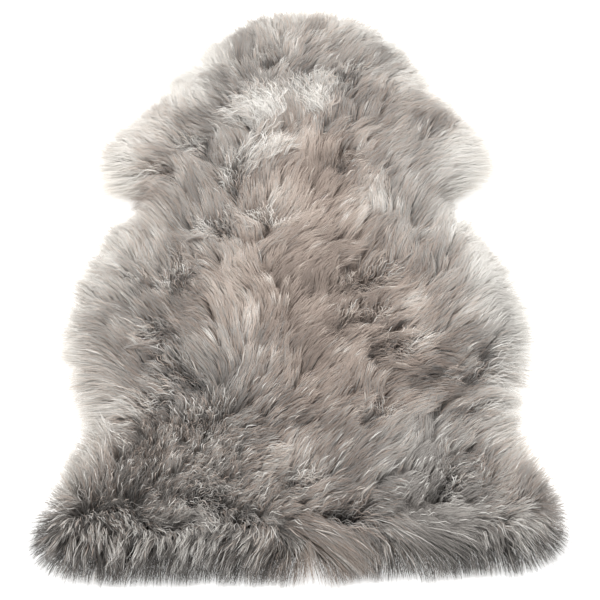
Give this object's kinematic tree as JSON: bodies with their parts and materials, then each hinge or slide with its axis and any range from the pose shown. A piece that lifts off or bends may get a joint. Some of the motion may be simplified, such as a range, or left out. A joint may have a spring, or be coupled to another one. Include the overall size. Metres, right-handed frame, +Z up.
{
  "type": "sheepskin rug",
  "caption": "Long-wool sheepskin rug lying flat: rounded head end, shoulder lobes, full belly, drawn-in waist and a wide flared hind edge.",
  "frame": {"origin": "on the surface it lies on, under the middle of the rug's bounding box", "axes": "+Z up out of the wool, +Y along the middle line from the hind edge to the head, +X to the rug's right side as seen from the hind edge"},
  "size_m": [0.6502, 0.956, 0.0632],
  "materials": {
    "wool": "long soft grey-brown wool, darker at the roots, paler at the tips and sides",
    "hide": "bare suede flesh side of the skin, under the wool"
  },
  "bodies": {
    "root": {"sheepskin": "wool"}
  },
  "joints": []
}
